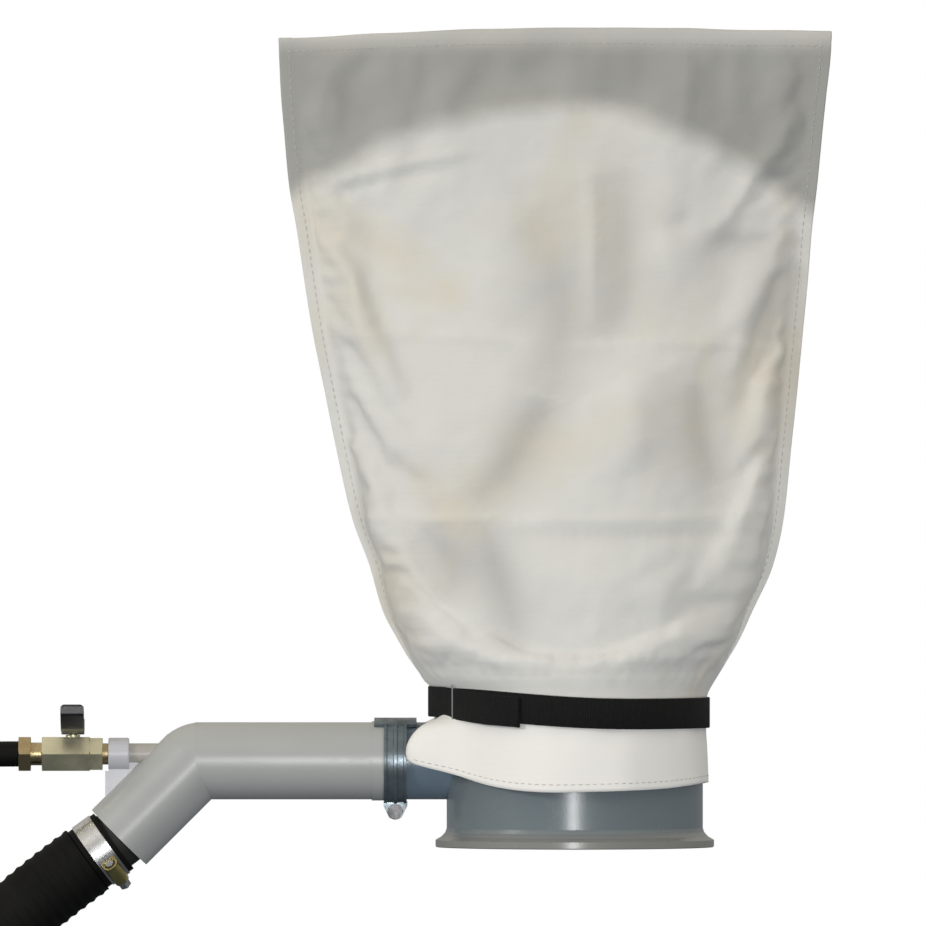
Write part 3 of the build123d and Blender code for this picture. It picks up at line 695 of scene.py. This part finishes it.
def bagShape(columns, rows):
    share = np.linspace(0, 1, rows)
    bottom, top = bag["sections"][0][0], bag["sections"][-1][0]
    heights = bottom + (top - bottom) * share
    turn = np.arange(columns) / columns * 2 * math.pi
    turn, height = np.meshgrid(turn, heights)
    left, right, front, back, lens, fin = [
        smoothTable(height, bag["sections"], place) for place in range(1, 7)]
    half = (right - left) / 2
    across = np.cos(turn)
    side = np.sin(turn)
    reach = np.minimum(np.abs(across) * half / (half - fin), 1)
    crown = np.sqrt(1 - reach ** 2) ** (1 + lens)
    deep = np.where(side < 0, front, back)
    seam = np.where(fin > 0.5, bag["seamHalf"], 0.0) * np.minimum(1, (1 - np.abs(across)) * half / 1.2 + 0.25)
    depth = np.maximum(deep * crown, seam)
    x = (left + right) / 2 + half * across
    y = np.where(side < -1e-9, -depth, np.where(side > 1e-9, depth, 0))
    return turn, height, x, y, crown


def skirtShape(turn, height, x, y, z):
    # the skirt hangs from the strap; its hem lifts over the side pipe and an ear stands out beside the pipe
    skirt = np.clip((78 - height) / 44, 0, 1)
    fromPipe = np.abs(turn - math.pi)
    onPipe = 1 / (1 + np.exp((fromPipe - 0.275) / 0.022))
    lift = 34 * np.exp(-(fromPipe / 0.6) ** 1.43)
    lift = lift + onPipe * (49 - lift)
    rightLift = 7.0 * np.exp(-(np.sin((turn - math.radians(350)) / 2) / 0.42) ** 2)
    z = z + skirt * (lift + rightLift + 0.9 * softNoise(31, turn * 80, 0 * x, 120, 2))
    ear = 33 * np.exp(-((fromPipe - 0.34) / 0.2) ** 2) * (1 - onPipe)
    tuck = -4.2 * np.exp(-(np.sin(turn / 2) / 0.32) ** 2)
    flare = ear * skirt ** 0.3 * (1.1 - 0.3 * skirt ** 2)
    flare = flare + skirt * (tuck + 1.6 * softNoise(33, turn * 80, 0 * x, 55, 2))
    return x + flare * np.cos(turn), y + flare * np.sin(turn), z


def bagPoints(columns, rows):
    turn, height, x, y, crown = bagShape(columns, rows)
    facing = np.where(np.sin(turn) < 0, -1.0, 1.0)
    upper = np.clip((height - 104) / 22, 0, 1)
    upper = upper * upper * (3 - 2 * upper)
    hem = np.clip((503 - height) / 14, 0, 1)
    free = upper * hem * np.clip(crown * 2.6, 0, 1)
    rise = bag["foldGain"] * bothSides(x, height, facing, bag["broadFolds"], bag["foldDrop"])
    rise = rise + 2.0 * softNoise(3, x + 40 * facing, height, 95)
    rise = rise + 0.8 * softNoise(5, x + 90 * facing, height, 36)
    rise = np.maximum(rise, -bag["deepestShare"] * np.abs(y))
    y = y + facing * free * rise
    # the side seams wander a little in and out of the bag's plane
    wander = 2.6 * softNoise(11, 60 * np.sign(np.cos(turn)), height, 120, 2) * upper * hem
    y = y + wander * np.clip(1 - (1 - np.abs(np.cos(turn))) * 6, 0, 1)
    # the closed edge waves up and down along its length
    topShare = np.clip((height - 440) / 70, 0, 1) ** 2
    lift = 1.3 * np.sin((x + 185) / 345 * 2 * math.pi * 0.95 - 1.9) + 0.5 * softNoise(14, x, 0 * x, 60, 2)
    lift = lift - 4.2 * np.exp(-((x + 186) / 60) ** 2)
    z = height + topShare * lift
    y = y + topShare * 3.2 * softNoise(15, x, 0 * x, 170, 2)
    # gathers above and below the strap
    gather = np.exp(-((height - 101) / 15) ** 2) * (height > 98)
    gather = gather + np.exp(-((height - 75) / 12) ** 2) * (height < 78)
    radial = 1.0 + 0.012 * gather * (softNoise(21, turn * 90, 0.25 * height, 26, 2) - 0.4)
    radial = radial + strapBulge(turn) / 84 * np.clip(1.5 - np.abs(height - 88) / 16, 0, 1)
    z = z + strapRise(turn) * np.clip(1 - np.abs(height - 87) / 34, 0, 1)
    neck = height < 104
    x, y, z = skirtShape(turn, height, np.where(neck, x * radial, x), np.where(neck, y * radial, y), z)
    held = np.clip(1 - upper, 0, 1) + (height > 500) + (crown < 0.1)
    return np.stack([x, y, z], axis=-1).reshape(-1, 3) * mm, np.clip(held, 0, 1).reshape(-1)


def closedTop(mesh, columns, rows):
    # joins front and back along the top edge
    shape = bmesh.new()
    shape.from_mesh(mesh)
    shape.verts.ensure_lookup_table()
    rim = [shape.verts[(rows - 1) * columns + column] for column in range(columns)]
    middle = columns // 2
    shape.faces.new((rim[0], rim[1], rim[-1]))
    for column in range(1, middle - 1):
        shape.faces.new((rim[column], rim[column + 1], rim[-column - 1], rim[-column]))
    shape.faces.new((rim[middle - 1], rim[middle], rim[middle + 1]))
    shape.to_mesh(mesh)
    shape.free()


def keptApart(place):
    # front and back cloth of one row never pass through each other
    rows, columns = bag["rows"], bag["columns"]
    grid = place.reshape(rows, columns, 3)
    middle = columns // 2
    back = grid[:, 1:middle, 1]
    front = grid[:, :middle:-1, 1]
    short = np.maximum(bag["layerGap"] - (back - front), 0) / 2
    short = short * (grid[:, 1:middle, 2] > 110)
    grid[:, 1:middle, 1] = back + short
    grid[:, :middle:-1, 1] = front - short
    return grid.reshape(-1, 3)


def letHang(piece, held):
    # a slack cloth, held at its seams, strap and closed edge, that a little air pushes out
    group = piece.vertex_groups.new(name="held")
    for number, weight in enumerate(held):
        group.add([number], float(weight), "REPLACE")
    before = np.array([vertex.co for vertex in piece.data.vertices])
    change = piece.modifiers.new("cloth", "CLOTH")
    cloth = change.settings
    cloth.quality = 5
    cloth.mass = 0.25
    cloth.tension_stiffness = 25
    cloth.compression_stiffness = 25
    cloth.shear_stiffness = 8
    cloth.bending_stiffness = bag["bendStiffness"]
    cloth.shrink_min = -bag["slack"]
    cloth.use_pressure = True
    cloth.uniform_pressure_force = bag["pressure"]
    cloth.vertex_group_mass = "held"
    cloth.effector_weights.gravity = 0.3
    change.collision_settings.use_collision = False
    change.point_cache.frame_end = bag["frames"]
    scene = bpy.context.scene
    for number in range(1, bag["frames"] + 1):
        scene.frame_set(number)
    settle(piece)
    scene.frame_set(1)
    after = np.array([vertex.co for vertex in piece.data.vertices])
    move = after - before
    far = np.linalg.norm(move, axis=1, keepdims=True)
    move = move * np.minimum(1, bag["mostMove"] * mm / np.maximum(far, 1e-9))
    place = keptApart((before + move) / mm)
    piece.data.vertices.foreach_set("co", (place * mm).reshape(-1))
    piece.vertex_groups.clear()
    print("stage: cloth hung, moved at most", round(float(far.max()) / mm, 1), "mm")


def pressCreases(piece):
    # the creases left from packing, and the puckers along the seams
    mesh = piece.data
    count = len(mesh.vertices)
    place = np.empty(count * 3)
    normal = np.empty(count * 3)
    mesh.vertices.foreach_get("co", place)
    mesh.vertex_normals.foreach_get("vector", normal)
    place = place.reshape(-1, 3) / mm
    normal = normal.reshape(-1, 3)
    x, y, z = place.T
    facing = np.where(normal[:, 1] < 0, -1.0, 1.0)
    left = smoothTable(z, bag["sections"], 1)
    right = smoothTable(z, bag["sections"], 2)
    inward = np.minimum(x - left, right - x)
    free = np.clip((z - 106) / 10, 0, 1) * np.clip((503 - z) / 8, 0, 1) * np.clip((inward - 4) / 8, 0, 1)
    free = free * np.clip(np.abs(y) / 7 - 0.1, 0, 1)
    rise = bothSides(x, z, facing, bag["creases"], bag["creaseDrop"])
    pucker = np.exp(-((inward - 13) / 12) ** 2) * softNoise(8, 0.25 * x + 70 * facing, z * 2.0, 34, 2)
    fine = 0.28 * softNoise(41, x + 50 * facing, z, 17, 3)
    gather = np.clip((126 - z) / 24, 0, 1) * softNoise(43, x * 1.6 + 20 * facing, 0.3 * z, 22, 2)
    deepest = bothSides(x, z, facing, bag["broadFolds"], bag["foldDrop"])
    # the valley attribute carries the fold valleys to the cloth, whose material paints shade there
    valley = np.clip(-(0.75 * deepest + 1.6 * rise) / 9, 0, 1) * (z > 108)
    layer = mesh.attributes.new("valley", "FLOAT", "POINT")
    layer.data.foreach_set("value", valley)
    push = free * (bag["creaseGain"] * rise + bag["pucker"] * pucker + fine + 1.2 * gather)
    hemFold = bag["hemFold"] * np.clip((z - 503.2) / 0.8, 0, 1)
    hemFold = hemFold + bag["hemFold"] * np.clip((left + 8.6 - x) / 0.8, 0, 1)
    place = place + normal * (push + 0.5 * hemFold * (np.abs(y) < 6))[:, None]
    mesh.vertices.foreach_set("co", (place * mm).reshape(-1))


# strap

strap = {
    "middle": 87.6,
    "height": 19.0,
    "radius": 83.0,
    "thick": 1.4,
    "tilt": 2.4,
    "lapFrom": 150.0,
    "lapTo": 246.0,
    "lapGap": 0.3,
    "bulge": 5.6,
    "edge": 0.45,
    "weaveAlong": 0.0016,
    "weaveAcross": 0.0013,
}


def strapBulge(turn):
    # the cloth is bunched over the side pipe and stands out under the strap
    away = np.abs(turn % (2 * math.pi) - math.pi)
    return strap["bulge"] * np.exp(-(away / 0.30) ** 2)


def strapRise(turn):
    # the strap is tilted, left side up, and sags a little at the front
    tilt = -np.cos(turn) * strap["radius"] * math.tan(math.radians(strap["tilt"]))
    sag = -2.6 * np.exp(-((turn - math.radians(277)) / 0.75) ** 2)
    return tilt + sag


def clothDraw(wire):
    cloud = wire.noise(14.0, 5.0, 0.6)
    fibre = wire.noise(620.0, 4.0, 0.7, twist=0.8)
    warp = wire.make("ShaderNodeTexWave", {"bands_direction": "Z"}, {
        "Vector": wire.place(), "Scale": 420.0, "Distortion": 0.6, "Detail": 1.0})
    stain = wire.noise(7.0, 4.0, 0.55).ramp(0.45, 0.72)
    warm = cloud.ramp(0.36, 0.66).blend(rgb(0.78, 0.775, 0.735), rgb(0.735, 0.735, 0.715))
    colour = (stain * 0.35).blend(warm, rgb(0.76, 0.72, 0.65))
    # painted shade: the cloth is darkened to grey above the arch and in the valleys of the folds
    fromPeak = wire.part(0) + 0.02
    arch = wire.part(2) + fromPeak * fromPeak * 2.3 + wire.noise(16.0, 4.0, 0.6) * 0.02
    # the mask below is painted shade above the arch, weaker near the closed edge
    archPaintedShade = (arch - 0.40).ramp(0.064, 0.080) * (1 - (wire.part(2) - 0.40).ramp(0.096, 0.106) * 0.6)
    colour = (archPaintedShade * 0.9).blend(colour, rgb(0.37, 0.37, 0.35))
    # painted shade in the valleys of the folds, read from the valley attribute
    valley = wire.make("ShaderNodeAttribute", {"attribute_name": "valley"}, {}, output="Fac")
    colour = (valley * 0.9).blend(colour, rgb(0.34, 0.33, 0.31))
    ochre = wire.noise(9.0, 3.0, 0.5, twist=0.4).ramp(0.52, 0.66) * 0.5
    colour = (ochre * (1 - archPaintedShade)).blend(colour, rgb(0.74, 0.66, 0.52))
    low = wire.part(2)
    dusty = (1 - (low * 4.0).ramp(0.3, 0.9)) * wire.noise(40.0, 4.0, 0.6).ramp(0.5, 0.75) * 0.3
    colour = dusty.blend(colour, rgb(0.60, 0.57, 0.51))
    # painted light: the skirt below the strap is painted brighter and whiter
    skirtLight = 1 - (wire.part(2) * 10.0).ramp(0.76, 0.86)
    colour = skirtLight.blend(colour, rgb(0.93, 0.915, 0.88))
    height = fibre * 0.6 + warp * 0.25 + wire.noise(90.0, 4.0, 0.6) * 1.4
    rough = 0.82 + fibre * 0.14
    return {"Base Color": colour, "Roughness": rough, "Normal": height.bump(0.00022)}


finishes["cloth"] = makeFinish("filterCloth", clothDraw, Sheen_Weight=0.35, Sheen_Roughness=0.5)


def makeBag():
    columns, rows = bag["columns"], bag["rows"]
    points, held = bagPoints(columns, rows)
    mesh = bpy.data.meshes.new("filterBag")
    mesh.from_pydata(points.tolist(), [], gridFaces(rows, columns))
    closedTop(mesh, columns, rows)
    piece = addPiece("sewnFilterBag", mesh, finishes["cloth"])
    letHang(piece, held)
    finer = piece.modifiers.new("finer", "SUBSURF")
    finer.levels = 1
    finer.render_levels = 1
    settle(piece)
    pressCreases(piece)
    stitches = makeStitches(piece.data)
    wall = piece.modifiers.new("wall", "SOLIDIFY")
    wall.thickness = bag["wall"]
    wall.offset = -1
    settle(piece)
    for face in piece.data.polygons:
        face.use_smooth = True
    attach(piece, "collector")
    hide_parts("filter_bag")


def webbingDraw(wire):
    run = wire.make("ShaderNodeUVMap", {"uv_map": "UVMap"}, {})
    along = wire.part(0, run) * (2 * math.pi / strap["weaveAlong"])
    across = wire.part(1, run) * (2 * math.pi / strap["weaveAcross"])
    weave = wire.maths("SINE", along + across) * wire.maths("SINE", across)
    lint = wire.noise(500.0, 4.0, 0.7)
    colour = lint.ramp(0.45, 0.75).blend(rgb(0.006, 0.007, 0.007), rgb(0.014, 0.015, 0.014))
    return {"Base Color": colour, "Roughness": 0.62 + lint * 0.25, "Normal": (weave + lint).bump(0.00025)}


finishes["webbing"] = makeFinish("strapWebbing", webbingDraw, Specular_IOR_Level=0.25)


def webbingBand(name, inner, start, end, count, droop, closed):
    # a flat woven band round the drum's axis, from azimuth start to end
    half, thick, edge = strap["height"] / 2, strap["thick"], strap["edge"]
    profile = [
        (0, -half + edge), (edge, -half), (thick - edge, -half), (thick, -half + edge), (thick, 0),
        (thick, half - edge), (thick - edge, half), (edge, half), (0, half - edge), (0, 0)]
    turns = np.linspace(math.radians(start), math.radians(end), count, endpoint=not closed)
    rises = strapRise(turns)
    vertices = []
    for turn, rise in zip(turns, rises):
        wave = 0.12 * math.sin(turn * 5 + inner)
        for out, up in profile:
            radius = inner + wave * (not closed) + out + strapBulge(turn)
            vertices.append((radius * math.cos(turn) * mm, radius * math.sin(turn) * mm,
                             (strap["middle"] + rise + up + droop(turn)) * mm))
    size = len(profile)
    faces = []
    for number in range(count if closed else count - 1):
        low = number * size
        high = (number + 1) % count * size
        for side in range(size):
            beside = (side + 1) % size
            faces.append((low + side, high + side, high + beside, low + beside))
    if not closed:
        faces.append(tuple(range(size)))
        faces.append(tuple(reversed(range((count - 1) * size, count * size))))
    mesh = bpy.data.meshes.new(name)
    mesh.from_pydata(vertices, [], faces)
    facesOut(mesh)
    layer = mesh.uv_layers.new(name="UVMap")
    for face in mesh.polygons:
        middle = math.atan2(face.center.y, face.center.x)
        for index in face.loop_indices:
            x, y, z = mesh.vertices[mesh.loops[index].vertex_index].co
            fromMiddle = (math.atan2(y, x) - middle + math.pi) % (2 * math.pi) - math.pi
            layer.data[index].uv = ((middle + fromMiddle) * inner * mm, z)
    return addPiece(name, mesh, finishes["webbing"])


def bandDroop(turn):
    return 0


def lapDroop(turn):
    # the lap's free end hangs a little lower than the strap
    return -2.4 * min(1, max(0, (turn - 3.5) / 0.5))


def makeStrap():
    lapInner = strap["radius"] + strap["thick"] + strap["lapGap"]
    band = webbingBand("webbingStrap", strap["radius"], 0, 360, 240, bandDroop, True)
    lap = webbingBand("webbingLap", lapInner, strap["lapFrom"], strap["lapTo"], 70, lapDroop, False)
    for piece, node in ((band, "bag_strap"), (lap, "strap_lap")):
        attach(piece, "collector")
        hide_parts(node)


# stitches

stitch = {
    "spacing": 0.0046,
    "length": 0.0030,
    "thick": 0.00055,
    "seamOffset": 5,
    "hemRow": 97,
    "seamFrom": 21,
    "proud": 0.0001,
}
finishes["thread"] = makeFinish(
    "sewingThread", rubbery(rgb(0.62, 0.61, 0.56), rgb(0.52, 0.51, 0.47), 0.6, 0.8), Sheen_Weight=0.2)


def stitchTree():
    tree = NodeTree("stitchRow", {
        "Finish": ("Material", None), "Spacing": ("Float", 0.005), "Length": ("Float", 0.003),
        "Thick": ("Float", 0.0005)})
    line = tree.add("GeometryNodeResampleCurve", {
        "Curve": tree.given("Geometry"), "Length": tree.given("Spacing")}, mode="LENGTH")
    bead = tree.add("GeometryNodeMeshUVSphere", {"Segments": 6, "Rings": 5, "Radius": 0.5})
    tangent = tree.add("GeometryNodeInputTangent", {})
    turn = tree.add("FunctionNodeAlignRotationToVector", {"Vector": tangent}, axis="X")
    size = tree.add("ShaderNodeCombineXYZ", {
        0: tree.given("Length"), 1: tree.given("Thick"), 2: tree.given("Thick")})
    tree.close(tree.add("GeometryNodeInstanceOnPoints", {
        "Points": line, "Instance": bead, "Rotation": turn, "Scale": size}))
    return tree


def stitchRuns():
    # rows of the cloth's own grid that carry a seam: (row, column) along each
    columns = bag["columns"]
    middle = columns // 2
    offset = stitch["seamOffset"]
    runs = []
    for column in (offset, middle - offset, middle + offset, columns - offset):
        runs.append([(row, column) for row in range(stitch["seamFrom"], stitch["hemRow"] + 1)])
    runs.append([(stitch["hemRow"], column) for column in range(offset, middle - offset + 1)])
    runs.append([(stitch["hemRow"], column) for column in range(middle + offset, columns - offset + 1)])
    runs.append([(1, column) for column in range(columns)])
    return runs


def makeStitches(mesh):
    curve = bpy.data.curves.new("stitchLines", "CURVE")
    curve.dimensions = "3D"
    for run in stitchRuns():
        spline = curve.splines.new("POLY")
        spline.points.add(len(run) - 1)
        for point, (row, column) in zip(spline.points, run):
            vertex = mesh.vertices[row * bag["columns"] + column]
            point.co = (*(vertex.co + vertex.normal * stitch["proud"]), 1)
        spline.use_cyclic_u = run[0][0] == 1
    lines = bpy.data.objects.new("stitchLines", curve)
    bpy.context.scene.collection.objects.link(lines)
    made = stitchTree().run(lines, Finish=finishes["thread"], Spacing=stitch["spacing"],
                            Length=stitch["length"], Thick=stitch["thick"])
    bpy.data.objects.remove(lines)
    piece = addPiece("bagStitches", made, finishes["thread"])
    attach(piece, "collector")
    return piece


makeBag()
print("stage: filter bag")
makeStrap()
print("stage: strap")
